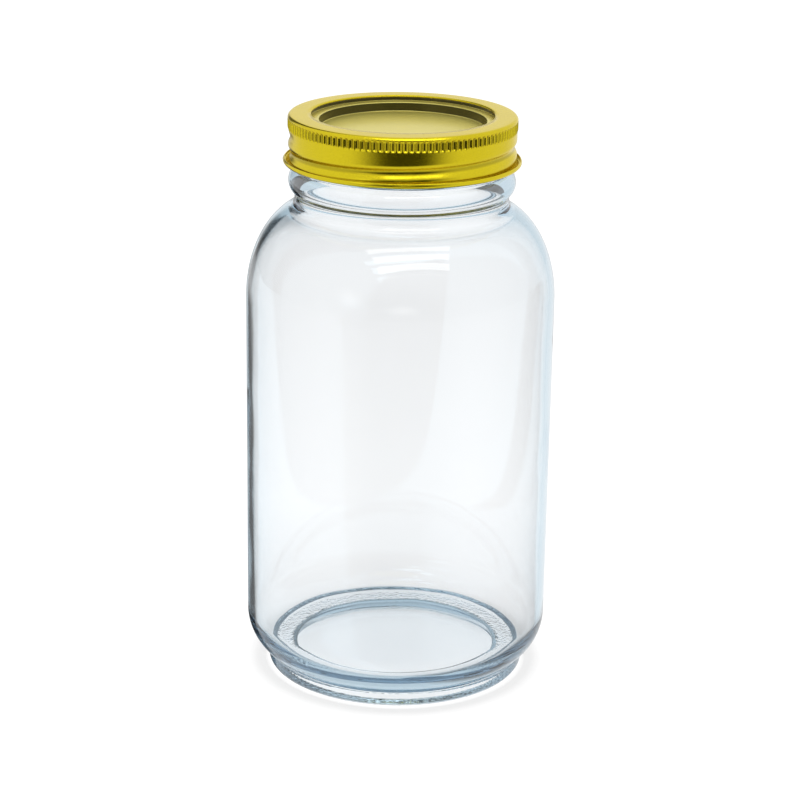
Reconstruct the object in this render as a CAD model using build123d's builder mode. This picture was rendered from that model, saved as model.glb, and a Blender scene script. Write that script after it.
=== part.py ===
from build123d import *
import os
from math import acos, degrees

# A one-quart home-canning jar with a two-piece lid: a blown glass jar, a flat pressed disc,
# the sealing ring that is bonded into the disc, and a rolled screw band that holds the disc
# down. Millimetres, +Z up, origin at the centre of the face that the jar stands on.

# ---- Driving dimensions -----------------------------------------------------------------

# Glass jar, outside
body_radius = 47.7
heel_top = 17.7
heel_width = 12.6
heel_height = 13.9
shoulder_foot = 121.2
shoulder_width = 20.1
shoulder_height = 30.0
neck_radius = 32.8
neck_top = 153.9
neck_fillet = 2.5
bead_radius = 34.7
bead_top = 161.6
finish_radius = 32.9
rim_height = 176.4
rim_round = 0.9
foot_radius = 40.8
foot_height = 4.4
foot_pinch_radius = 40.2
foot_edge_round = 1.8
bearing_inner_radius = 34.0
push_up = 3.0
push_up_middle_radius = 18.7
push_up_middle_height = 2.4

# Glass jar, inside
side_wall = 1.9
shoulder_wall = 2.5
mouth_radius = 30.6
mouth_fillet = 5.0
floor_height = 7.6
floor_radius = 31.0
cavity_heel_height = 13.0

# Screw thread: the jar's moulded ridge and the band's rolled groove share one pitch
thread_pitch = 5.08
groove_front_height = 167.5
front_angle = 270.0
groove_depth = 0.75
groove_half_width = 1.75
groove_start_angle = 115.0
groove_turn = 455.0
groove_cover = 4.0
groove_run_out = 0.6
ridge_above_groove = 2.4
ridge_depth = 1.1
ridge_root = 0.4
ridge_foot_half = 1.2
ridge_crest_half = 0.45
ridge_start_angle = 130.0
ridge_turn = 430.0

# Screw band
sheet = 0.3
band_top = 178.0
band_radius = 34.75
band_opening_radius = 27.9
sheet_bend = 0.65
curl_foot = 163.1
curl_lip_height = 164.7
curl_radius = 36.4
knurl_radius = 34.95
knurl_foot = 173.9
knurl_top = 177.0
flute_count = 120
flute_radius = 0.9
flute_depth = 0.3

# Lid disc and the sealing ring bonded under its rim
skirt_radius = 33.9
skirt_foot = 176.0
disc_step_radius = 28.4
ledge_height = 176.4
panel_step_radius = 25.4
panel_height = 173.6
disc_bend = 0.45
gasket_inner_radius = 29.2
gasket_outer_radius = 33.3

# ---- Derived dimensions -----------------------------------------------------------------

disc_top = band_top - sheet
disc_underside = disc_top - sheet
band_inner_radius = band_radius - sheet
inner_radius = body_radius - side_wall
heel_centre_radius = body_radius - heel_width
shoulder_centre_radius = body_radius - shoulder_width
cavity_shoulder_width = shoulder_width - side_wall
cavity_shoulder_height = shoulder_height - shoulder_wall
cavity_heel_width = inner_radius - floor_radius
cavity_heel_top = floor_height + cavity_heel_height


def arc_angle(reach, width):
    """Angle, in degrees, at which an ellipse of this half width comes to this reach."""
    return degrees(acos(reach / width))


# ---- Jar thread: a ridge of trapezoidal section wound round the finish --------------------

ridge_height = thread_pitch * ridge_turn / 360
ridge_root_radius = finish_radius - ridge_root

with BuildPart() as jar_ridge:
    with BuildLine() as ridge_path:
        Helix(pitch=thread_pitch, height=ridge_height, radius=ridge_root_radius)
    ridge_start = Plane(
        origin=ridge_path.line @ 0,
        x_dir=(1, 0, 0),
        z_dir=ridge_path.line % 0,
    )
    with BuildSketch(ridge_start):
        with BuildLine():
            Polyline(
                (0, -ridge_foot_half),
                (ridge_root + ridge_depth, -ridge_crest_half),
                (ridge_root + ridge_depth, ridge_crest_half),
                (0, ridge_foot_half),
                close=True,
            )
        make_face()
    sweep(path=ridge_path.line, is_frenet=True)


# ---- Glass jar --------------------------------------------------------------------------

heel_angle = arc_angle(foot_pinch_radius - heel_centre_radius, heel_width)
shoulder_angle = arc_angle(neck_radius - shoulder_centre_radius, shoulder_width)
cavity_angle = arc_angle(mouth_radius - shoulder_centre_radius, cavity_shoulder_width)
ridge_start_height = (
    groove_front_height
    + ridge_above_groove
    + thread_pitch * (ridge_start_angle - front_angle) / 360
)

with BuildPart() as glass_jar:
    # The glass as if it were solid: foot ring, heel, straight side, shoulder, neck, the
    # bead under the lid and the threaded finish up to the sealing rim.
    with BuildSketch(Plane.XZ) as outside:
        with BuildLine():
            push_up_arc = ThreePointArc(
                (0, push_up),
                (push_up_middle_radius, push_up_middle_height),
                (bearing_inner_radius, 0),
            )
            foot_edge = RadiusArc(
                (foot_radius - foot_edge_round, 0),
                (foot_radius, foot_edge_round),
                -foot_edge_round,
            )
            Line(push_up_arc @ 1, foot_edge @ 0)
            heel = EllipticalCenterArc(
                (heel_centre_radius, heel_top),
                heel_width,
                heel_height,
                start_angle=-heel_angle,
                arc_size=heel_angle,
            )
            Polyline(foot_edge @ 1, (foot_radius, foot_height), heel @ 0)
            shoulder = EllipticalCenterArc(
                (shoulder_centre_radius, shoulder_foot),
                shoulder_width,
                shoulder_height,
                start_angle=0,
                arc_size=shoulder_angle,
            )
            Line(heel @ 1, shoulder @ 0)
            Line(shoulder @ 1, (neck_radius, neck_top))
            bead = ThreePointArc(
                (neck_radius, neck_top),
                (bead_radius, (neck_top + bead_top) / 2),
                (finish_radius, bead_top),
            )
            Polyline(
                bead @ 1,
                (finish_radius, rim_height - rim_round),
                (finish_radius - rim_round, rim_height),
                (0, rim_height),
                push_up_arc @ 0,
            )
        make_face()
        neck_corner = outside.vertices().sort_by_distance(shoulder @ 1)[0]
        fillet(neck_corner, radius=neck_fillet)
    revolve(axis=Axis.Z)

    # The cavity: floor, rounded heel, straight side, shoulder and mouth
    with BuildSketch(Plane.XZ) as cavity:
        with BuildLine():
            cavity_heel = EllipticalCenterArc(
                (floor_radius, cavity_heel_top),
                cavity_heel_width,
                cavity_heel_height,
                start_angle=-90,
                arc_size=90,
            )
            cavity_shoulder = EllipticalCenterArc(
                (shoulder_centre_radius, shoulder_foot),
                cavity_shoulder_width,
                cavity_shoulder_height,
                start_angle=0,
                arc_size=cavity_angle,
            )
            Line(cavity_heel @ 1, cavity_shoulder @ 0)
            Polyline(
                cavity_shoulder @ 1,
                (mouth_radius, rim_height - rim_round / 2),
                (mouth_radius + rim_round / 2, rim_height),
                (0, rim_height),
                (0, floor_height),
                cavity_heel @ 0,
            )
        make_face()
        mouth_corner = cavity.vertices().sort_by_distance(cavity_shoulder @ 1)[0]
        fillet(mouth_corner, radius=mouth_fillet)
    revolve(axis=Axis.Z, mode=Mode.SUBTRACT)

    # The moulded thread
    with Locations(Location((0, 0, ridge_start_height), (0, 0, ridge_start_angle))):
        add(jar_ridge.part)

glass_jar.part.label = "glass_jar"

# ---- Lid disc: thin pressed sheet with a rim, a step down and a flat panel -----------------

with BuildPart() as lid_disc:
    with BuildSketch(Plane.XZ):
        with BuildLine():
            disc_line = FilletPolyline(
                (skirt_radius, skirt_foot),
                (skirt_radius, disc_top),
                (disc_step_radius, disc_top),
                (disc_step_radius, ledge_height),
                (panel_step_radius, ledge_height),
                (panel_step_radius, panel_height),
                (0, panel_height),
                radius=disc_bend,
            )
            offset(disc_line, amount=sheet, side=Side.LEFT)
        make_face()
    revolve(axis=Axis.Z)
lid_disc.part.label = "lid_disc"

# ---- Sealing gasket: a flat ring in the channel between the skirt and the step -------------

with BuildPart() as sealing_gasket:
    with BuildSketch(Plane.XY.offset(rim_height)):
        Circle(gasket_outer_radius)
        Circle(gasket_inner_radius, mode=Mode.SUBTRACT)
    extrude(amount=disc_underside - rim_height)
sealing_gasket.part.label = "sealing_gasket"

# ---- Screw band: rolled sheet with an inturned flange, a knurl, a thread and a curl --------

groove_height = thread_pitch * groove_turn / 360
groove_start_height = (
    groove_front_height + thread_pitch * (groove_start_angle - front_angle) / 360
)

with BuildPart() as groove_tool:
    with BuildLine() as groove_path:
        Helix(pitch=thread_pitch, height=groove_height, radius=band_radius)
    groove_start = Plane(
        origin=groove_path.line @ 0,
        x_dir=(1, 0, 0),
        z_dir=groove_path.line % 0,
    )
    with BuildSketch(groove_start):
        with BuildLine():
            groove_arc = ThreePointArc(
                (0, -groove_half_width),
                (-groove_depth, 0),
                (0, groove_half_width),
            )
            Polyline(
                groove_arc @ 1,
                (groove_run_out, groove_half_width),
                (groove_run_out, -groove_half_width),
                groove_arc @ 0,
            )
        make_face()
    sweep(path=groove_path.line, is_frenet=True)

cover_height = thread_pitch * (groove_turn + 2 * groove_cover) / 360

with BuildPart() as groove_backing:
    with BuildLine() as backing_path:
        Helix(pitch=thread_pitch, height=cover_height, radius=band_radius)
    backing_start = Plane(
        origin=backing_path.line @ 0,
        x_dir=(1, 0, 0),
        z_dir=backing_path.line % 0,
    )
    with BuildSketch(backing_start):
        with BuildLine():
            backing_arc = ThreePointArc(
                (-sheet / 2, -groove_half_width - sheet),
                (-groove_depth - sheet, 0),
                (-sheet / 2, groove_half_width + sheet),
            )
            Line(backing_arc @ 1, backing_arc @ 0)
        make_face()
    sweep(path=backing_path.line, is_frenet=True)

with BuildPart() as screw_band:
    with BuildSketch(Plane.XZ):
        with BuildLine():
            band_line = FilletPolyline(
                (band_opening_radius, band_top),
                (band_radius, band_top),
                (band_radius, curl_foot + sheet),
                (curl_radius - sheet, curl_foot + sheet),
                (curl_radius - sheet, curl_lip_height),
                radius=sheet_bend,
            )
            offset(band_line, amount=sheet, side=Side.RIGHT)
        make_face()
    revolve(axis=Axis.Z)
    with BuildSketch(Plane.XY.offset(knurl_foot)):
        Circle(knurl_radius)
        with PolarLocations(knurl_radius + flute_radius - flute_depth, flute_count):
            Circle(flute_radius, mode=Mode.SUBTRACT)
        Circle(band_radius - sheet / 2, mode=Mode.SUBTRACT)
    extrude(amount=knurl_top - knurl_foot)
    with Locations(
        Location(
            (0, 0, groove_start_height - thread_pitch * groove_cover / 360),
            (0, 0, groove_start_angle - groove_cover),
        )
    ):
        add(groove_backing.part)
    with Locations(Location((0, 0, groove_start_height), (0, 0, groove_start_angle))):
        add(groove_tool.part, mode=Mode.SUBTRACT)
screw_band.part.label = "screw_band"

# ---- Export -----------------------------------------------------------------------------

os.makedirs("parts", exist_ok=True)
for piece in (glass_jar, lid_disc, sealing_gasket, screw_band):
    export_step(piece.part, f"parts/{piece.part.label}.step")
    box = piece.part.bounding_box()
    print(piece.part.label, round(piece.part.volume), "mm3,", box.size)
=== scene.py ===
# %% [markdown]
# # A mason jar with a two-piece screw lid
#
# This lesson dresses a canning jar that is already designed in CAD. The CAD model says where
# each piece is, how large it is and how it moves. Blender makes the pieces look real: glass
# with a wavy inner wall, a rolled and knurled band, a pressed lid and its sealing ring.
#
# Everything is in metres, Z points up, and the jar stands on the origin.

# %% Load the frame
import math
import bpy
from mathutils import Matrix, Vector, noise


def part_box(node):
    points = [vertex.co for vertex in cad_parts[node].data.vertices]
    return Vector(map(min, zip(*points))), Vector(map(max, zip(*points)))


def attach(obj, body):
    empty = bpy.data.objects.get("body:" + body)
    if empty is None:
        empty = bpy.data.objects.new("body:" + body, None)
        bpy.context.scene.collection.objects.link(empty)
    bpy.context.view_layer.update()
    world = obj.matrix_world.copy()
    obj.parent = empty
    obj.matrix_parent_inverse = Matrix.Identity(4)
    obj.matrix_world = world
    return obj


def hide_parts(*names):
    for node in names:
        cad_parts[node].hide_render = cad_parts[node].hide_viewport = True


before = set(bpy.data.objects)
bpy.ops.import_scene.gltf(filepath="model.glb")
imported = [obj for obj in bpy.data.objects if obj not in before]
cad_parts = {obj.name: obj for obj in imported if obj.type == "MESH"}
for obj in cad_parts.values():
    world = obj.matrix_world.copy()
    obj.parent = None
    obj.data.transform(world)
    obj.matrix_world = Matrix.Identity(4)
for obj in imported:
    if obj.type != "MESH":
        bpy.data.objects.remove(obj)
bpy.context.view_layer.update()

# %% [markdown]
# ## Measures that come from the frame
#
# A jar is made of nested rings, so a few radii and heights place everything. The CAD boxes
# give them: the body's radius, the height of the sealing rim, the band's curl and top, and the
# disc's skirt. The lesson works in millimetres, because that is how a jar is drawn, and turns
# each finished outline into metres at the end.

# %% Read the sizes of the nodes
MM = 0.001


def node_size(node):
    """Outer radius, foot and top of a round CAD node, in millimetres.

    The CAD skin is made of flat faces, so its box is a hair narrower on some sides. The
    narrowest side counts, and the dressed piece then stays inside the box all round.
    """
    low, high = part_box(node)
    radius = min(high[0], high[1], -low[0], -low[1])
    return radius / MM, low[2] / MM, high[2] / MM


body_radius, jar_foot, rim_top = node_size("glass_jar")
curl_radius, curl_foot, band_top = node_size("screw_band")
skirt_radius, panel_underside, disc_top = node_size("lid_disc")
gasket_radius, gasket_foot, gasket_top = node_size("sealing_gasket")
print("jar", body_radius, rim_top, "band", curl_radius, curl_foot, band_top)
print("disc", skirt_radius, panel_underside, disc_top, "gasket", gasket_radius, gasket_foot)

# %% [markdown]
# ## Drawing outlines
#
# Every piece of this jar is turned: its shape is one outline carried round the axis. An
# outline is a list of points, each a radius and a height. Two helpers draw the parts of it.
# `bow` follows an elliptical arc, and `run` walks a straight line in even steps. Even steps
# matter on glass, because long thin faces would bend the light in visible facets.

# %% Outline helpers
def bow(centre, half_width, half_height, first, last, count):
    """Points on an elliptical arc. Angles are in degrees, 0 points outwards, 90 upwards."""
    points = []
    for step in range(count + 1):
        angle = math.radians(first + (last - first) * step / count)
        points.append((
            centre[0] + half_width * math.cos(angle),
            centre[1] + half_height * math.sin(angle),
        ))
    return points


def run(start, end, count):
    """Points between two ends of a straight stretch, without the ends themselves."""
    return [
        (
            start[0] + (end[0] - start[0]) * step / count,
            start[1] + (end[1] - start[1]) * step / count,
        )
        for step in range(1, count)
    ]


print("a quarter bow of 4 steps:", bow((0, 0), 1, 1, 0, 90, 4))

# %% [markdown]
# ## Turning an outline into a solid
#
# By hand the first step is one vertex, extruded along the outline until the half section is
# drawn. It could then be spun with the Spin tool, but Spin works through the whole mesh again
# at each step, and a jar needs hundreds of steps. The Screw modifier, with no rise, carries
# the line round Z at once, and joins the last row to the first. Each point on the axis becomes
# a stack of copies, so doubles are merged before the normals are made to point outwards.

# %% The turning helper
MERGE = 0.002 * MM


def turn_outline(name, outline, steps):
    """Extrude one vertex along the outline, carry it round Z and close the skin."""
    bpy.ops.object.select_all(action="DESELECT")
    bpy.ops.mesh.primitive_plane_add(size=MM, location=(0, 0, 0))
    piece = bpy.context.object
    piece.name = name
    piece.data.name = name
    bpy.ops.object.mode_set(mode="EDIT")
    bpy.ops.mesh.select_all(action="SELECT")
    bpy.ops.mesh.merge(type="CENTER")
    radius, height = outline[0]
    bpy.ops.transform.translate(value=(radius * MM, 0, height * MM))
    for next_radius, next_height in outline[1:]:
        move = ((next_radius - radius) * MM, 0, (next_height - height) * MM)
        bpy.ops.mesh.extrude_region_move(TRANSFORM_OT_translate={"value": move})
        radius, height = next_radius, next_height
    bpy.ops.object.mode_set(mode="OBJECT")
    screw = piece.modifiers.new("turn", "SCREW")
    screw.angle = 2 * math.pi
    screw.steps = steps
    screw.render_steps = steps
    screw.use_merge_vertices = True
    screw.merge_threshold = MERGE
    bpy.ops.object.modifier_apply(modifier="turn")
    bpy.ops.object.mode_set(mode="EDIT")
    bpy.ops.mesh.select_all(action="SELECT")
    bpy.ops.mesh.remove_doubles(threshold=MERGE)
    bpy.ops.mesh.normals_make_consistent(inside=False)
    bpy.ops.object.mode_set(mode="OBJECT")
    bpy.ops.object.shade_smooth()
    return piece


print("points closer than", MERGE, "m are merged")

# %% [markdown]
# ## Polar moves
#
# Some features wind round the turned shape: the thread, the knurl, the waves in the glass.
# They are small radial moves of vertices that already exist. Sculpting them by hand would not
# give an even thread, so one helper hands every vertex to a rule as a radius, an angle and a
# height in millimetres, and takes the new radius and height back.

# %% The polar helper
def reshape(piece, rule):
    """Move every vertex by a rule of radius, angle (degrees) and height (millimetres)."""
    for vertex in piece.data.vertices:
        radius = math.hypot(vertex.co.x, vertex.co.y) / MM
        angle = math.degrees(math.atan2(vertex.co.y, vertex.co.x)) % 360
        height = vertex.co.z / MM
        new_radius, new_height = rule(radius, angle, height)
        if radius > 0.01:
            vertex.co.x *= new_radius / radius
            vertex.co.y *= new_radius / radius
        vertex.co.z = new_height * MM
    piece.data.update()


def ease(value):
    """A smooth step from 0 to 1."""
    value = min(max(value, 0.0), 1.0)
    return value * value * (3 - 2 * value)


print("a smooth step in quarters:", [ease(part / 4) for part in range(5)])

# %% [markdown]
# ## The glass jar's outline
#
# A jar like this is blown in a mould. The mould makes the outside: a foot ring, a rounded
# heel, straight sides, a round shoulder, a short neck with a bead, and a threaded finish. Air
# makes the inside, so it is smoother in shape and uneven in thickness. The outline starts under
# the floor on the axis, climbs the outside, goes over the sealing rim, and comes down the
# inside to the floor. Glass shows its thickness, so both walls are real surfaces.

# %% Measures of the jar
PUSH_UP = 3.0
FLOOR = 7.6
SIDE_WALL = 1.9
BEARING_INNER, BEARING_OUTER = 34.3, 39.0
FOOT_ROUND = 1.8
FOOT_HEIGHT = 3.9
PINCH_CORNER = (40.2, FOOT_HEIGHT)
HEEL = (35.1, 17.7)
HEEL_HEIGHT = 13.9
SHOULDER = (27.6, 121.2)
SHOULDER_HEIGHT = 30.0
CAVITY_SHOULDER_HEIGHT = 26.3
NECK_FILLET = (35.3, 151.8)
NECK_FILLET_ROUND = 2.5
BEAD = (29.85, 157.75)
BEAD_ROUND = 4.85
FINISH = 32.9
RIM_ROUND = 0.9
MOUTH = 30.6
MOUTH_ROUND = 0.6
CAVITY_NECK = (35.6, 150.6)
CAVITY_NECK_ROUND = 5.0
CAVITY_HEEL_HEIGHT = 10.6
CAVITY_HEEL = (34.6, FLOOR + CAVITY_HEEL_HEIGHT)
foot_radius = BEARING_OUTER + FOOT_ROUND
inner_radius = body_radius - SIDE_WALL
print("foot radius", foot_radius, "inner radius", inner_radius)

# %% [markdown]
# ## The outside of the jar, from the foot up
#
# The mould leaves every corner round. The push-up stays nearly level and drops at its edge to
# the flat bearing ring that the jar stands on. From there the line goes round the foot, pinches
# in, swells through the heel, and climbs to the shoulder, neck, bead and rim.

# %% Outside of the jar
outline = [(0.0, PUSH_UP)]
outline += [(r, PUSH_UP - (r / 33.0) ** 5) for r in (4, 8, 12, 16, 20, 24, 27, 30, 31.5)]
outline += bow((31.5, 1.5), 0.9, 0.7, 80, 10, 5)
outline += bow((BEARING_INNER, 0.95), 1.8, 0.95, 185, 270, 7)
outline += run((BEARING_INNER, jar_foot), (BEARING_OUTER, jar_foot), 8)
outline += bow((BEARING_OUTER, FOOT_ROUND), FOOT_ROUND, FOOT_ROUND, 270, 360, 10)
outline += run((foot_radius, FOOT_ROUND), (foot_radius, FOOT_HEIGHT), 4)
outline += bow(PINCH_CORNER, 0.6, 0.8, 0, 70, 4)
outline += bow(HEEL, body_radius - HEEL[0], HEEL_HEIGHT, -64.5, 0, 28)
outline += run((body_radius, HEEL[1]), (body_radius, SHOULDER[1]), 24)
outline += bow(SHOULDER, body_radius - SHOULDER[0], SHOULDER_HEIGHT, 0, 71, 30)
outline += bow(NECK_FILLET, NECK_FILLET_ROUND, NECK_FILLET_ROUND, 242, 180, 6)
outline += bow(BEAD, BEAD_ROUND, BEAD_ROUND, -52, 52, 18)
outline += run((FINISH, 161.8), (FINISH, rim_top - RIM_ROUND), 40)
print("outline points outside:", len(outline))

# %% [markdown]
# ## The rim and the inside
#
# The rim is flat enough to seal on and round at both edges. Inside, the line goes down the
# mouth, opens under the neck, and follows the outside at the thickness of the wall. The glass
# is thicker at the shoulder, because it was drawn out least there, and thickest in the floor.

# %% Inside of the jar
outline += bow((FINISH - RIM_ROUND, rim_top - RIM_ROUND), RIM_ROUND, RIM_ROUND, 0, 90, 6)
outline += bow((MOUTH + MOUTH_ROUND, rim_top - MOUTH_ROUND), MOUTH_ROUND, MOUTH_ROUND, 90, 180, 5)
outline += run((MOUTH, rim_top - MOUTH_ROUND), (MOUTH, CAVITY_NECK[1]), 8)
outline += bow(CAVITY_NECK, CAVITY_NECK_ROUND, CAVITY_NECK_ROUND, 180, 243, 8)
outline += bow(SHOULDER, inner_radius - SHOULDER[0], CAVITY_SHOULDER_HEIGHT, 71, 0, 28)
outline += run((inner_radius, SHOULDER[1]), (inner_radius, CAVITY_HEEL[1]), 24)
outline += bow(CAVITY_HEEL, inner_radius - CAVITY_HEEL[0], CAVITY_HEEL_HEIGHT, 0, -90, 24)
outline += [
    (r, FLOOR - 0.5 * (1 - (r / CAVITY_HEEL[0]) ** 2))
    for r in (32, 28, 24, 20, 16, 12, 8, 4, 0)
]
glass_jar = turn_outline("glass_jar_blown", outline, 320)
print("jar outline points:", len(outline), "faces:", len(glass_jar.data.polygons))

# %% [markdown]
# ## Thread and waves on the glass
#
# The finish carries one ridge that climbs 5.08 mm a turn to the right, the pitch that all
# bands of this family share. Its flanks slope and both ends fade out. The inner wall gets slow
# waves less than a tenth of a millimetre high. They can't be seen as a shape, but they bend the
# dark line along the edge of the glass the way a blown wall does.

# %% Wind the ridge and wave the wall
PITCH = 5.08
GROOVE_FRONT = 167.5
FRONT = 270.0
RIDGE_RISE = 2.4
RIDGE_DEPTH = 1.1
RIDGE_FLANK = 0.9
SLOW_WAVE = 0.07
FINE_WAVE = 0.025


def thread_height(turned):
    """Height of the band's groove after this many degrees from +X, going round upwards."""
    return GROOVE_FRONT + PITCH * (turned - FRONT) / 360


def wound(angle, height, first, last, rise, fade):
    """Distance above the nearest wind of the thread, and how far that wind has faded in."""
    best = (99.0, 0.0)
    for turned in (angle, angle + 360):
        strength = ease((turned - first) / fade) * ease((last - turned) / fade)
        away = height - thread_height(turned) - rise
        if strength > 0 and abs(away) < abs(best[0]):
            best = (away, strength)
    return best


def glass_rule(radius, angle, height):
    """The ridge on the finish, and the slow waves of the inner wall."""
    if height > 161.9 and radius > FINISH - 0.4:
        away, strength = wound(angle, height, 130, 560, RIDGE_RISE, 14)
        flank = ease((1.35 - abs(away)) / RIDGE_FLANK)
        return radius + RIDGE_DEPTH * flank * strength, height
    inner_wall = 8.5 < height < 150 and radius < body_radius - 1.5
    if inner_wall:
        where = Vector((
            math.cos(math.radians(angle)) * 2.1,
            math.sin(math.radians(angle)) * 2.1,
            height * 0.045,
        ))
        wave = SLOW_WAVE * noise.noise(where) + FINE_WAVE * noise.noise(where * 3.1)
        return radius + wave, height
    return radius, height


reshape(glass_jar, glass_rule)
print("jar reaches", max(v.co.z for v in glass_jar.data.vertices) / MM, "mm")

# %% [markdown]
# ## The screw band
#
# The band is one strip of tinplate, rolled. From the inside edge of the opening it runs out as
# a flat flange, turns down over a round shoulder, falls as a straight wall, and ends in an
# open curl that turns outwards and up, so that no cut edge meets the hand.

# %% Measures of the band
SHEET = 0.3
WALL = 34.95
BEND = 1.15
OPENING = 27.9
CURL = 0.98
LIP = 0.45
lip_centre = (curl_radius - CURL, curl_foot + CURL)
wall_foot = lip_centre[1]
print("curl round", lip_centre)

# %% [markdown]
# ## The band's outline
#
# The outline goes along the outer face, round the lip of the curl, and back along the inner
# face. The wall has a point every half millimetre or less, because the flutes and the groove
# are pressed into it afterwards.

# %% Outline of the band
outline = [(OPENING, band_top - SHEET), (OPENING - 0.04, band_top - 0.15), (OPENING, band_top)]
outline += run((OPENING, band_top), (WALL - BEND, band_top), 4)
outline += bow((WALL - BEND, band_top - BEND), BEND, BEND, 90, 0, 8)
outline += run((WALL, band_top - BEND), (WALL, wall_foot + 0.4), 46)
outline += [(WALL, wall_foot + 0.4), (WALL - 0.05, wall_foot + 0.1)]
outline += bow(lip_centre, CURL - SHEET, CURL - SHEET, 190, 360, 8)
outline += [(curl_radius - SHEET, wall_foot + LIP)]
outline += bow((curl_radius - SHEET / 2, wall_foot + LIP), SHEET / 2, 0.15, 160, 20, 4)
outline += [(curl_radius, wall_foot + LIP)]
outline += bow(lip_centre, CURL, CURL, 0, -160, 9)
outline += [(WALL - SHEET, wall_foot + 0.1)]
outline += run((WALL - SHEET, wall_foot + 0.1), (WALL - SHEET, band_top - BEND), 30)
outline += bow((WALL - BEND, band_top - BEND), BEND - SHEET, BEND - SHEET, 0, 90, 5)
outline += run((WALL - BEND, band_top - SHEET), (OPENING, band_top - SHEET), 4)
outline += [(OPENING, band_top - SHEET)]
screw_band = turn_outline("screw_band_rolled", outline, 720)
print("band outline points:", len(outline), "faces:", len(screw_band.data.polygons))

# %% [markdown]
# ## Knurl and thread groove
#
# A roller presses 120 flutes under the shoulder, for grip. Between two flutes a narrow ridge
# stays, and it ends in a round toe. A second roller presses the thread inwards, so the groove
# shows on both faces of the sheet. Both are pressed here into the spun wall: six vertices go
# to each flute, which is enough for a round bottom.

# %% Press the knurl and the groove
FLUTES = 120
FLUTE_DEPTH = 0.65
KNURL_FOOT = 173.6
KNURL_TOP = 177.1
GROOVE_DEPTH = 0.8
GROOVE_REACH = 2.3
WALL_REST = 0.2


def band_rule(radius, angle, height):
    """The groove, the flutes, and the wall's small step in below the knurl."""
    if radius < WALL - 0.6 or height < wall_foot + 0.2:
        return radius, height
    away, strength = wound(angle, height, 115, 570, 0, 40)
    groove = GROOVE_DEPTH * ease((GROOVE_REACH - abs(away)) / 2.2) * strength
    across = (angle * FLUTES / 360) % 1.0
    flute = math.sin(math.pi * across) ** 0.8
    along = ease((height - KNURL_FOOT) / 0.55) * ease((KNURL_TOP - height) / 0.7)
    knurled = height > KNURL_FOOT - 0.1
    rest = WALL_REST
    if knurled:
        rest = WALL_REST * (1 - along) * ease((KNURL_TOP - height) / 0.9)
    return radius - groove - FLUTE_DEPTH * flute * along - rest, height


reshape(screw_band, band_rule)
print("band reaches", max(v.co.z for v in screw_band.data.vertices) / MM, "mm")

# %% [markdown]
# ## The lid disc
#
# The disc is stamped. Its skirt hugs the glass, its rim holds the sealing compound, and two
# steps lead down to the panel, which springs down when the jar seals. It is one turned outline
# too: the upper face going in, the lower face coming back. Each bend is named by its centre.

# %% Measures of the disc
RIM_INNER = 28.4
RIM_BEND = 0.5
LEDGE = 176.4
LEDGE_BEND = 0.2
STEP = 25.4
STEP_BEND = 0.3
SKIRT_FOOT = 176.0
PANEL = panel_underside + SHEET
rim_outer_bend = (skirt_radius - RIM_BEND, disc_top - RIM_BEND)
rim_inner_bend = (RIM_INNER + RIM_BEND, disc_top - RIM_BEND)
ledge_bend = (RIM_INNER - LEDGE_BEND, LEDGE + LEDGE_BEND)
step_bend = (STEP + STEP_BEND, LEDGE - STEP_BEND)
panel_bend = (STEP - STEP_BEND, PANEL + STEP_BEND)
print("ledge", RIM_INNER - STEP, "mm wide, panel", LEDGE - PANEL, "mm below it")

# %% [markdown]
# ## The upper face of the disc
#
# From the foot of the skirt the line goes up and over the rim, down the first step to the
# ledge, down the second step to the panel, and in to the axis. Every corner is a bend, because
# sheet metal can't turn sharply.

# %% Upper face of the disc
outline = [(skirt_radius - SHEET, SKIRT_FOOT), (skirt_radius - SHEET / 2, SKIRT_FOOT - 0.05)]
outline += [(skirt_radius, SKIRT_FOOT)]
outline += bow(rim_outer_bend, RIM_BEND, RIM_BEND, 0, 90, 6)
outline += run((rim_outer_bend[0], disc_top), (rim_inner_bend[0], disc_top), 6)
outline += bow(rim_inner_bend, RIM_BEND, RIM_BEND, 90, 180, 6)
outline += bow(ledge_bend, LEDGE_BEND, LEDGE_BEND, 0, -90, 5)
outline += run((ledge_bend[0], LEDGE), (step_bend[0], LEDGE), 5)
outline += bow(step_bend, STEP_BEND, STEP_BEND, 90, 180, 6)
outline += run((STEP, step_bend[1]), (STEP, panel_bend[1]), 4)
outline += bow(panel_bend, STEP_BEND, STEP_BEND, 0, -90, 6)
outline += run((panel_bend[0], PANEL), (0, PANEL), 16)
outline += [(0, PANEL), (0, panel_underside)]
print("outline points on the upper face:", len(outline))

# %% [markdown]
# ## The lower face of the disc
#
# The sheet is as thick everywhere, so the lower face follows the upper one at the thickness of
# the sheet. Bends that are hollow above are fuller below.

# %% Lower face of the disc
outline += run((0, panel_underside), (panel_bend[0], panel_underside), 16)
outline += bow(panel_bend, STEP_BEND + SHEET, STEP_BEND + SHEET, -90, 0, 6)
outline += run((step_bend[0], panel_bend[1]), (step_bend[0], LEDGE - 0.4), 4)
outline += [(step_bend[0], LEDGE - 0.4), (step_bend[0] + 0.1, LEDGE - SHEET)]
outline += run((step_bend[0] + 0.1, LEDGE - SHEET), (ledge_bend[0], LEDGE - SHEET), 5)
outline += bow(ledge_bend, LEDGE_BEND + SHEET, LEDGE_BEND + SHEET, -90, 0, 6)
outline += bow(rim_inner_bend, RIM_BEND - SHEET, RIM_BEND - SHEET, 180, 90, 3)
outline += run((rim_inner_bend[0], disc_top - SHEET), (rim_outer_bend[0], disc_top - SHEET), 6)
outline += bow(rim_outer_bend, RIM_BEND - SHEET, RIM_BEND - SHEET, 90, 0, 3)
outline += [(skirt_radius - SHEET, SKIRT_FOOT)]
lid_disc = turn_outline("lid_disc_pressed", outline, 256)
print("disc outline points:", len(outline), "faces:", len(lid_disc.data.polygons))

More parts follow.
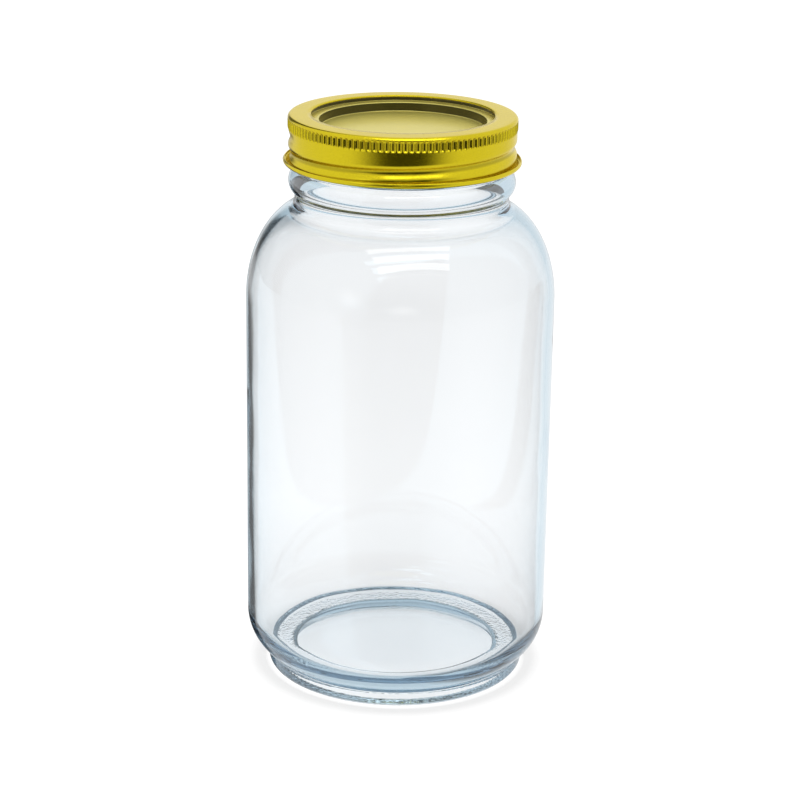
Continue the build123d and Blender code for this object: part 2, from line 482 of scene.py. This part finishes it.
# %% [markdown]
# ## The sealing ring
#
# The compound is poured into the rim of the disc as a liquid, and it sets to a soft ring. Its
# lower face is slightly crowned, and its edges are round where it wets the metal.

# %% Draw the sealing ring
GASKET_INNER = 29.2
CROWN = 0.4
middle = (GASKET_INNER + gasket_radius) / 2
half_width = (gasket_radius - GASKET_INNER) / 2
outline = [(GASKET_INNER, gasket_top), (gasket_radius, gasket_top)]
outline += bow((middle, gasket_foot + CROWN), half_width, CROWN, 0, -180, 18)
outline += [(GASKET_INNER, gasket_top)]
sealing_ring = turn_outline("sealing_ring_poured", outline, 256)
print("sealing ring faces:", len(sealing_ring.data.polygons))

# %% [markdown]
# ## Clear glass
#
# Soda-lime glass bends light a little more than water, with an index of 1.52. It is nearly
# colourless through one wall and blue-grey through a long path, as in the foot and along the
# edges. A tinted surface would colour thin and thick glass alike, so the tint is absorption in
# the volume. Blown glass also has faint ripples, which are a low bump. The bearing ring gets a
# band of fine points on top, which keep the hot jar from sticking to the belt.

# %% Node helpers
def new_material(name):
    """A material with nodes. Gives the material, its nodes, its links and its shader."""
    material = bpy.data.materials.new(name)
    material.use_nodes = True
    nodes = material.node_tree.nodes
    return material, nodes, material.node_tree.links, nodes["Principled BSDF"]


def add_node(nodes, kind, **settings):
    """A node of one kind, with some of its settings."""
    node = nodes.new(kind)
    for key, value in settings.items():
        setattr(node, key, value)
    return node


def node_math(nodes, links, operation, first, second):
    """One sum of two sockets or numbers."""
    node = add_node(nodes, "ShaderNodeMath", operation=operation)
    for socket, value in zip(node.inputs, (first, second)):
        if isinstance(value, (int, float)):
            socket.default_value = value
        else:
            links.new(value, socket)
    return node.outputs["Value"]


def noise_node(nodes, links, source, scale, detail, roughness=0.5):
    """Cloudy noise in the space of the source."""
    node = add_node(nodes, "ShaderNodeTexNoise")
    node.inputs["Scale"].default_value = scale
    node.inputs["Detail"].default_value = detail
    node.inputs["Roughness"].default_value = roughness
    links.new(source, node.inputs["Vector"])
    return node


def span_node(nodes, links, source, low, high, from_low=0.3, from_high=0.7):
    """Stretch one span of values onto another, and stop at both ends."""
    node = add_node(nodes, "ShaderNodeMapRange")
    node.inputs["From Min"].default_value = from_low
    node.inputs["From Max"].default_value = from_high
    node.inputs["To Min"].default_value = low
    node.inputs["To Max"].default_value = high
    links.new(source, node.inputs["Value"])
    return node


print("helpers: new_material, add_node, node_math, noise_node, span_node")


# %% [markdown]
# ## The glass itself
#
# Roughness stays close to nothing, with a faint film that comes and goes. The two bumps follow
# each other: the ripples first, then the points of the bearing ring, which a ramp of the height
# holds within the lowest millimetre.

# %% Glass material
def clear_glass_material():
    """Clear soda-lime glass, tinted by depth."""
    material, nodes, links, shader = new_material("clear_glass")
    shader.inputs["Base Color"].default_value = (0.997, 0.998, 0.999, 1)
    shader.inputs["Transmission Weight"].default_value = 1.0
    shader.inputs["IOR"].default_value = 1.52
    place = add_node(nodes, "ShaderNodeTexCoord").outputs["Object"]
    ripple = noise_node(nodes, links, place, 55.0, 2.0)
    film = noise_node(nodes, links, place, 22.0, 4.0)
    rough = span_node(nodes, links, film.outputs["Fac"], 0.0, 0.02, 0.5, 0.8)
    links.new(rough.outputs["Result"], shader.inputs["Roughness"])
    bump = add_node(nodes, "ShaderNodeBump")
    bump.inputs["Strength"].default_value = 0.06
    bump.inputs["Distance"].default_value = 0.0006
    links.new(ripple.outputs["Fac"], bump.inputs["Height"])
    dots = add_node(nodes, "ShaderNodeTexVoronoi")
    dots.inputs["Scale"].default_value = 850.0
    links.new(place, dots.inputs["Vector"])
    height = add_node(nodes, "ShaderNodeSeparateXYZ")
    links.new(place, height.inputs["Vector"])
    low_ring = span_node(nodes, links, height.outputs["Z"], 0.6, 0.0, 0.0003, 0.0009)
    stipple = add_node(nodes, "ShaderNodeBump")
    stipple.inputs["Distance"].default_value = 0.0003
    links.new(low_ring.outputs["Result"], stipple.inputs["Strength"])
    links.new(dots.outputs["Distance"], stipple.inputs["Height"])
    links.new(bump.outputs["Normal"], stipple.inputs["Normal"])
    links.new(stipple.outputs["Normal"], shader.inputs["Normal"])
    depth = add_node(nodes, "ShaderNodeVolumeAbsorption")
    depth.inputs["Color"].default_value = (0.50, 0.66, 0.78, 1)
    depth.inputs["Density"].default_value = 24.0
    output = nodes["Material Output"]
    links.new(depth.outputs["Volume"], output.inputs["Volume"])
    return material


glass_jar.data.materials.append(clear_glass_material())
print("glass on", glass_jar.name)

# %% [markdown]
# ## Gold lacquered tinplate
#
# The band is tin-plated steel under a yellow lacquer. The metal gives the colour its depth,
# and the clear top of the lacquer adds a paler shine at grazing angles. A fine grain breaks up
# the shine, and slow changes of tone follow the rolling. Hollows gather less light, so a
# painted shade on the base colour darkens the flutes and the groove of the band by their
# radius, and the steps of the disc by how steep they stand.

# %% Painted shade for hollows and steps
def painted_steep_shade(nodes, links, place):
    """Painted shade: dark on faces that stand upright, light on faces that lie flat, wherever the
    place.
    """
    upright = add_node(nodes, "ShaderNodeSeparateXYZ")
    links.new(add_node(nodes, "ShaderNodeNewGeometry").outputs["Normal"], upright.inputs["Vector"])
    flatness = node_math(nodes, links, "ABSOLUTE", upright.outputs["Z"], 0)
    return span_node(nodes, links, flatness, 0.07, 1.0, 0.25, 0.85).outputs["Result"]


def painted_hollow_shade(nodes, links, place):
    """Painted shade: dark in the bottoms of the flutes and the groove, light on the wall and the
    flange.
    """
    level = add_node(nodes, "ShaderNodeVectorMath", operation="MULTIPLY")
    links.new(place, level.inputs[0])
    level.inputs[1].default_value = (1, 1, 0)
    out = add_node(nodes, "ShaderNodeVectorMath", operation="LENGTH")
    links.new(level.outputs["Vector"], out.inputs[0])
    upright = add_node(nodes, "ShaderNodeSeparateXYZ")
    links.new(place, upright.inputs["Vector"])
    below_knurl = node_math(nodes, links, "LESS_THAN", upright.outputs["Z"], KNURL_FOOT * MM)
    spared = node_math(nodes, links, "MULTIPLY", below_knurl, 0.45 * MM)
    radius = node_math(nodes, links, "ADD", out.outputs["Value"], spared)
    light = span_node(nodes, links, radius, 0.2, 1.0, 34.15 * MM, 34.6 * MM)
    above = node_math(nodes, links, "GREATER_THAN", upright.outputs["Z"], (KNURL_TOP - 0.15) * MM)
    return node_math(nodes, links, "MAXIMUM", light.outputs["Result"], above)


print("flutes and groove are darkest below a radius of 34.15 mm")


# %% [markdown]
# ## The lacquer
#
# One helper makes both finishes. The band is bright and glossy. The disc is paler and more
# matt, because its enamel hides a part of the metal.

# %% Lacquer material
def lacquer_material(name, light, dark, grain, rough, coat, metal, shade):
    """Metal under a yellow lacquer: two tones, a fine grain, a clear top and a painted shade."""
    material, nodes, links, shader = new_material(name)
    place = add_node(nodes, "ShaderNodeTexCoord").outputs["Object"]
    speck = noise_node(nodes, links, place, grain, 3.0, 0.65)
    cloud = noise_node(nodes, links, place, 60.0, 3.0)
    tone = add_node(nodes, "ShaderNodeMix", data_type="RGBA")
    tone.inputs["A"].default_value = (*dark, 1)
    tone.inputs["B"].default_value = (*light, 1)
    share = add_node(nodes, "ShaderNodeMath", operation="ADD")
    links.new(span_node(nodes, links, speck.outputs["Fac"], 0.0, 0.7).outputs[0], share.inputs[0])
    links.new(span_node(nodes, links, cloud.outputs["Fac"], 0.0, 0.3).outputs[0], share.inputs[1])
    links.new(share.outputs["Value"], tone.inputs["Factor"])
    # The shade function gives a painted shade, which darkens the base colour in hollows and on
    # steps.
    base_with_painted_shade = add_node(nodes, "ShaderNodeVectorMath", operation="SCALE")
    links.new(tone.outputs["Result"], base_with_painted_shade.inputs[0])
    links.new(shade(nodes, links, place), base_with_painted_shade.inputs["Scale"])
    links.new(base_with_painted_shade.outputs["Vector"], shader.inputs["Base Color"])
    sheen = span_node(nodes, links, speck.outputs["Fac"], *rough)
    links.new(sheen.outputs["Result"], shader.inputs["Roughness"])
    shader.inputs["Metallic"].default_value = metal
    shader.inputs["Coat Weight"].default_value = coat
    shader.inputs["Specular Tint"].default_value = (1.0, 0.93, 0.6, 1)
    shader.inputs["Coat Roughness"].default_value = 0.16
    shader.inputs["Coat IOR"].default_value = 1.5
    bump = add_node(nodes, "ShaderNodeBump")
    bump.inputs["Strength"].default_value = 0.12
    bump.inputs["Distance"].default_value = 0.00005
    links.new(speck.outputs["Fac"], bump.inputs["Height"])
    links.new(bump.outputs["Normal"], shader.inputs["Normal"])
    return material


screw_band.data.materials.append(lacquer_material(
    "gold_lacquered_tinplate",
    light=(0.72, 0.585, 0.006), dark=(0.58, 0.465, 0.002),
    grain=2600.0, rough=(0.18, 0.27), coat=0.3, metal=1.0, shade=painted_hollow_shade,
))
lid_disc.data.materials.append(lacquer_material(
    "gold_lacquered_lid",
    light=(0.80, 0.72, 0.20), dark=(0.68, 0.60, 0.12),
    grain=3400.0, rough=(0.3, 0.38), coat=0.3, metal=0.65, shade=painted_steep_shade,
))
print("lacquer on", screw_band.name, "and", lid_disc.name)

# %% [markdown]
# ## Sealing compound
#
# The compound is a grey, slightly translucent rubber. It has a dull skin with a faint
# pebble, so the shade varies a little and the surface scatters what light it takes in.

# %% Compound material
def compound_material():
    """Grey sealing rubber with a pebbled skin."""
    material, nodes, links, shader = new_material("sealing_compound")
    place = add_node(nodes, "ShaderNodeTexCoord").outputs["Object"]
    pebble = noise_node(nodes, links, place, 1800.0, 2.0)
    tone = add_node(nodes, "ShaderNodeMix", data_type="RGBA")
    tone.inputs["A"].default_value = (0.22, 0.23, 0.23, 1)
    tone.inputs["B"].default_value = (0.34, 0.35, 0.34, 1)
    links.new(pebble.outputs["Fac"], tone.inputs["Factor"])
    links.new(tone.outputs["Result"], shader.inputs["Base Color"])
    shader.inputs["Roughness"].default_value = 0.55
    bump = add_node(nodes, "ShaderNodeBump")
    bump.inputs["Strength"].default_value = 0.2
    bump.inputs["Distance"].default_value = 0.0001
    links.new(pebble.outputs["Fac"], bump.inputs["Height"])
    links.new(bump.outputs["Normal"], shader.inputs["Normal"])
    return material


sealing_ring.data.materials.append(compound_material())
print("compound on", sealing_ring.name)

# %% [markdown]
# ## Hand the pieces to the frame
#
# Each piece rides on the body that carries it and stands in for one CAD node. The list also
# names the finish that each piece was given.

# %% Ride and replace
pieces = (
    (glass_jar, "jar", "glass_jar", "clear_glass"),
    (lid_disc, "lid", "lid_disc", "gold_lacquered_lid"),
    (sealing_ring, "lid", "sealing_gasket", "sealing_compound"),
    (screw_band, "band", "screw_band", "gold_lacquered_tinplate"),
)
for piece, body, node, slot in pieces:
    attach(piece, body)
    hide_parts(node)
    print(piece.name, "rides on", body, "for", node)

# %% [markdown]
# ## Floor and soft light
#
# Clear glass is drawn by what stands round it. A white room alone would hide it, so the
# light is bright-field: a white floor and sky fill the view, and something dark stands out of
# sight at the side. The edges of the glass bend the view far enough to pick it up as dark
# lines. The floor glows a little by itself, so that it stays white without a hard lamp.

# %% Floor
FLOOR_SIZE = 12
FLOOR_SHADE = 0.16


def floor_material():
    """A matt stage surface. Its own glow is wired up below."""
    material, nodes, links, shader = new_material("studio_white")
    shader.inputs["Base Color"].default_value = (FLOOR_SHADE, FLOOR_SHADE, FLOOR_SHADE, 1)
    shader.inputs["Roughness"].default_value = 0.9
    shader.inputs["Specular IOR Level"].default_value = 0.0
    return material


bpy.ops.object.select_all(action="DESELECT")
bpy.ops.mesh.primitive_plane_add(size=FLOOR_SIZE, location=(0, 0, 0))
floor = bpy.context.object
floor.name = "studio_floor"
floor.data.materials.append(floor_material())
floor.visible_glossy = False
print("floor", FLOOR_SIZE, "m wide")

# %% [markdown]
# ## What the lacquer reflects
#
# Metal shows its surroundings and little else. A plain white room makes it look like yellow
# plastic, so the sky that glossy rays see gets a few soft patches: a darker front, where an
# unlit room would be, and soft boxes above it. Everything else sees an even white sky. First
# come the helpers. They turn two angles into a direction, and set up sums for the sky.

# %% Sky helpers
world = bpy.data.worlds.new("studio_sky")
bpy.context.scene.world = world
world.use_nodes = True
sky_nodes = world.node_tree.nodes
sky_links = world.node_tree.links
sky_direction = sky_nodes.new("ShaderNodeTexCoord").outputs["Generated"]


def heading(azimuth, elevation):
    """A unit direction from its azimuth and elevation in degrees."""
    flat = math.cos(math.radians(elevation))
    return Vector((
        flat * math.cos(math.radians(azimuth)),
        flat * math.sin(math.radians(azimuth)),
        math.sin(math.radians(elevation)),
    ))


def sky_math(operation, first, second):
    """One sum in the sky's nodes."""
    return node_math(sky_nodes, sky_links, operation, first, second)


def sky_dot(axis):
    """How far the sky direction points along an axis."""
    node = add_node(sky_nodes, "ShaderNodeVectorMath", operation="DOT_PRODUCT")
    sky_links.new(sky_direction, node.inputs[0])
    node.inputs[1].default_value = axis
    return node.outputs["Value"]


print("straight up is", heading(0, 90))


# %% [markdown]
# ## A patch of sky
#
# A patch is an ellipse on the sky round one direction, and its rim is soft. With bars it is a
# box instead, striped like a window with a blind, which is what a round shoulder of glass
# mirrors in a workshop.

# %% Sky patch
BAR_EDGE = -0.4


def sky_patch(azimuth, elevation, half_width, half_height, core, bars=0):
    """1 inside an ellipse or a box of the sky, easing to 0 at its rim beyond the core."""
    centre = heading(azimuth, elevation)
    side = heading(azimuth + 90, 0)
    above = centre.cross(side)
    across = sky_math("DIVIDE", sky_dot(side), math.sin(math.radians(half_width)))
    upwards = sky_math("DIVIDE", sky_dot(above), math.sin(math.radians(half_height)))
    wave = sky_math("SINE", sky_math("MULTIPLY", upwards, math.pi * bars), 0)
    across = sky_math("ABSOLUTE", across, 0)
    upwards = sky_math("ABSOLUTE", upwards, 0)
    if bars:
        reach = sky_math("MAXIMUM", across, upwards)
    else:
        squares = [sky_math("POWER", part, 2) for part in (across, upwards)]
        reach = sky_math("SQRT", sky_math("ADD", *squares), 0)
    fade = sky_nodes.new("ShaderNodeMapRange")
    fade.interpolation_type = "SMOOTHSTEP"
    fade.inputs["From Min"].default_value = 1.0
    fade.inputs["From Max"].default_value = core
    sky_links.new(reach, fade.inputs["Value"])
    facing = sky_math("GREATER_THAN", sky_dot(centre), 0.0)
    patch = sky_math("MULTIPLY", fade.outputs["Result"], facing)
    if bars:
        patch = sky_math("MULTIPLY", patch, sky_math("GREATER_THAN", wave, BAR_EDGE))
    return patch


print("bars show where a sine is over", BAR_EDGE)

# %% [markdown]
# ## Where the patches stand
#
# Each row gives azimuth, elevation, half width and half height in degrees, then the full part
# of the patch, its strength, and for the lights the number of bars. The front is dark. A row of
# dark patches on the left gives the glass its edge. The large light is the window with bars.

# %% Paint the sky
DARK_PATCHES = (
    (-88, -6, 62, 42, 0.38, 0.97),
    (94, -14, 22, 12, 0.2, 0.7),
    (116, -26, 16, 15, 0.6, 0.96),
    (118, 24, 17, 44, 0.5, 0.93),
)
LIGHT_PATCHES = (
    (-128, 13, 14, 9, 0.1, 1.0, 0),
    (-88, 6, 16, 6, 0.1, 1.3, 0),
    (-77, 58, 25, 20, 0.93, 3.0, 3),
)
GLOSSY_SKY = 0.98
EVEN_SKY = 1.12
mirrored = GLOSSY_SKY
for azimuth, elevation, wide, high, core, depth in DARK_PATCHES:
    shade = sky_math("MULTIPLY", sky_patch(azimuth, elevation, wide, high, core), depth)
    mirrored = sky_math("MULTIPLY", sky_math("SUBTRACT", 1.0, shade), mirrored)
for azimuth, elevation, wide, high, core, power, bars in LIGHT_PATCHES:
    glow = sky_math("MULTIPLY", sky_patch(azimuth, elevation, wide, high, core, bars), power)
    mirrored = sky_math("ADD", mirrored, glow)
glossy_ray = sky_nodes.new("ShaderNodeLightPath").outputs["Is Glossy Ray"]
plain_part = sky_math("MULTIPLY", sky_math("SUBTRACT", 1.0, glossy_ray), EVEN_SKY)
glossy_part = sky_math("MULTIPLY", glossy_ray, mirrored)
sky_links.new(
    sky_math("ADD", plain_part, glossy_part), sky_nodes["Background"].inputs["Strength"]
)
sky_nodes["Background"].inputs["Color"].default_value = (1, 1, 1, 1)
print("sky patches:", len(DARK_PATCHES), "dark,", len(LIGHT_PATCHES), "light")

# %% [markdown]
# ## Dark lines along the edges of the glass
#
# The outermost millimetres of a glass wall act like a curved mirror: the light turns back
# inside the wall and leaves sideways. In a studio black cards stand there. The same is done
# here with the floor and the sky themselves. Both go dark on the left and in front on the
# right, but only for light that was mirrored inside the glass, so no card shows through the
# jar. The cell makes the tests: was the light mirrored inside, and which side is it on?

# %% Tests for light from the glass
def mirrored_inside(nodes, links):
    """1 for a ray that was mirrored inside glass and then left it."""
    path = add_node(nodes, "ShaderNodeLightPath")
    turned = node_math(nodes, links, "GREATER_THAN", path.outputs["Glossy Depth"], 0.5)
    return node_math(nodes, links, "MULTIPLY", turned, path.outputs["Is Transmission Ray"])


def side_of_line(nodes, links, source, normal, offset, soft):
    """0 on one side of a line or plane, easing to 1 on the other."""
    dot = add_node(nodes, "ShaderNodeVectorMath", operation="DOT_PRODUCT")
    links.new(source, dot.inputs[0])
    dot.inputs[1].default_value = normal
    fade = span_node(nodes, links, dot.outputs["Value"], 0.0, 1.0, offset, offset + soft)
    return fade.outputs["Result"]


def left_of_heading(azimuth):
    """The flat direction that points to the left of a heading."""
    return (-math.sin(math.radians(azimuth)), math.cos(math.radians(azimuth)), 0.0)


print("left of straight ahead is", left_of_heading(90))

# %% [markdown]
# ## The dark wedge
#
# The wedge starts and ends at two headings from the jar's left edge. On the sky, which is
# infinitely far, only the directions count. The front on the right is dark too, so that the
# heel has a dark line on that side.

# %% Edge darkness
FLOOR_WEDGE = (108.0, 136.0)
SKY_WEDGE = (100.0, 165.0)
RIGHT_FRONT = -45.0
EDGE_DARKNESS = 0.99


def darken_edges(nodes, links, source, wedge, reach, right_offset, soft, socket, strength):
    """Darken a wedge behind the jar's left edge and the ground in front on the right."""
    starts, ends = [
        side_of_line(
            nodes, links, source, left_of_heading(azimuth),
            reach * math.sin(math.radians(azimuth)), soft,
        )
        for azimuth in wedge
    ]
    left = node_math(nodes, links, "SUBTRACT", starts, ends)
    right = side_of_line(nodes, links, source, heading(RIGHT_FRONT, 0), right_offset, soft)
    either = node_math(nodes, links, "MAXIMUM", left, right)
    shade = node_math(nodes, links, "MULTIPLY", either, mirrored_inside(nodes, links))
    shade = node_math(nodes, links, "MULTIPLY", shade, EDGE_DARKNESS)
    kept = node_math(nodes, links, "SUBTRACT", 1.0, shade)
    links.new(node_math(nodes, links, "MULTIPLY", kept, strength), socket)


print("the wedge opens from", FLOOR_WEDGE[0], "to", FLOOR_WEDGE[1], "degrees")

# %% [markdown]
# ## The tint of long paths
#
# Light that was mirrored inside the glass has crossed more of it than a straight path would.
# The tint adds to the absorption and gives the foot its blue-grey.

# %% Tint
EDGE_TINT = (0.56, 0.70, 0.78)


def tint_mirrored(nodes, links, socket):
    """Light that was mirrored inside glass has gone a long way through it, so it is tinted."""
    tint = add_node(nodes, "ShaderNodeMix", data_type="RGBA")
    tint.inputs["A"].default_value = (1, 1, 1, 1)
    tint.inputs["B"].default_value = (*EDGE_TINT, 1)
    links.new(mirrored_inside(nodes, links), tint.inputs["Factor"])
    links.new(tint.outputs["Result"], socket)


floor_tree = floor.data.materials[0].node_tree
floor_shader = floor_tree.nodes["Principled BSDF"]
tint_mirrored(floor_tree.nodes, floor_tree.links, floor_shader.inputs["Emission Color"])
tint_mirrored(sky_nodes, sky_links, sky_nodes["Background"].inputs["Color"])
print("tint", EDGE_TINT)

# %% [markdown]
# ## The glow of the floor and its painted contact shadow
#
# The floor's glow changes with the distance from the jar. It is dimmer in a narrow ring round
# the foot, a painted contact shadow, and farther away, where the upper part of the jar looks.
# Seen straight, without glass between, it glows a little more and reads as white.

# %% Floor glow
GLOW_REACH = 0.45
SEEN_DIRECTLY = 0.12
# The dip near 42.5 mm is a painted contact shadow round the foot.
GLOW_STOPS_WITH_PAINTED_SHADOW = (
    (0.0, 0.97), (0.0335, 0.97), (0.0345, 0.90), (0.0408, 0.88),
    (0.0425, 0.60), (0.050, 0.86), (0.15, 0.94), (0.45, 0.83),
)


def floor_glow_with_painted_shadow(nodes, links, place):
    """Strength of the floor's own light, from the distance to the axis, with a painted contact
    shadow round the foot.
    """
    from_axis = add_node(nodes, "ShaderNodeVectorMath", operation="LENGTH")
    links.new(place, from_axis.inputs[0])
    rings = add_node(nodes, "ShaderNodeValToRGB")
    share = node_math(nodes, links, "DIVIDE", from_axis.outputs["Value"], GLOW_REACH)
    links.new(share, rings.inputs["Fac"])
    stops = rings.color_ramp.elements
    for index, (reach, strength) in enumerate(GLOW_STOPS_WITH_PAINTED_SHADOW):
        while len(stops) <= index:
            stops.new(1.0)
        stops[index].position = reach / GLOW_REACH
        stops[index].color = (strength, strength, strength, 1)
    straight = add_node(nodes, "ShaderNodeLightPath").outputs["Is Camera Ray"]
    extra = node_math(nodes, links, "MULTIPLY", straight, SEEN_DIRECTLY)
    return node_math(nodes, links, "ADD", rings.outputs["Color"], extra)


floor_place = add_node(floor_tree.nodes, "ShaderNodeTexCoord").outputs["Object"]
glow = floor_glow_with_painted_shadow(floor_tree.nodes, floor_tree.links, floor_place)
print("glow stops:", len(GLOW_STOPS_WITH_PAINTED_SHADOW))

# %% [markdown]
# ## Wire the darkness in
#
# The darkness multiplies whatever strength the floor and the sky already have. On the floor
# distances are in metres, on the sky they are parts of a unit direction.

# %% Darken floor and sky
darken_edges(
    floor_tree.nodes, floor_tree.links, floor_place, FLOOR_WEDGE,
    reach=body_radius * MM, right_offset=0.033, soft=0.006,
    socket=floor_shader.inputs["Emission Strength"], strength=glow,
)
sky_strength = sky_nodes["Background"].inputs["Strength"]
painted_sky = sky_strength.links[0].from_socket
darken_edges(
    sky_nodes, sky_links, sky_direction, SKY_WEDGE,
    reach=0.0, right_offset=0.3, soft=0.08,
    socket=sky_strength, strength=painted_sky,
)
print("edge darkness", EDGE_DARKNESS)

# %% [markdown]
# ## Room for light in thick glass
#
# In the heel and the foot the light is mirrored many times before it leaves. With the usual
# limit of a few bounces those paths are cut off and show as black, so the limits are raised.

# %% Let light wander through thick glass
light_paths = bpy.context.scene.cycles
light_paths.max_bounces = 32
light_paths.glossy_bounces = 24
light_paths.transmission_bounces = 32
print("bounces:", light_paths.max_bounces)

# %% [markdown]
# ## Camera
#
# A long lens from a little above keeps the sides of the jar nearly straight. The camera
# leans slightly, as a camera in the hand does.

# %% Camera
camera_data = bpy.data.cameras.new("studio_camera")
camera = bpy.data.objects.new("studio_camera", camera_data)
bpy.context.scene.collection.objects.link(camera)
camera_data.sensor_width = 36.0
camera_data.lens = 108.76
PITCH_DOWN = math.radians(18.45)
ROLL = math.radians(0.89)
aim = Matrix.Rotation(math.pi / 2 - PITCH_DOWN, 4, "X") @ Matrix.Rotation(ROLL, 4, "Z")
camera.location = (0.0004, -0.7207, 0.3272)
camera.rotation_euler = aim.to_euler()
bpy.context.scene.camera = camera
print("camera at", tuple(camera.location), "lens", camera_data.lens)

# %% [markdown]
# ## How tones are shown
#
# The plain view keeps a white floor white. The default view would grey it and dull the gold.

# %% View
bpy.context.scene.view_settings.view_transform = "Standard"
bpy.context.scene.view_settings.look = "None"
print("view:", bpy.context.scene.view_settings.view_transform)
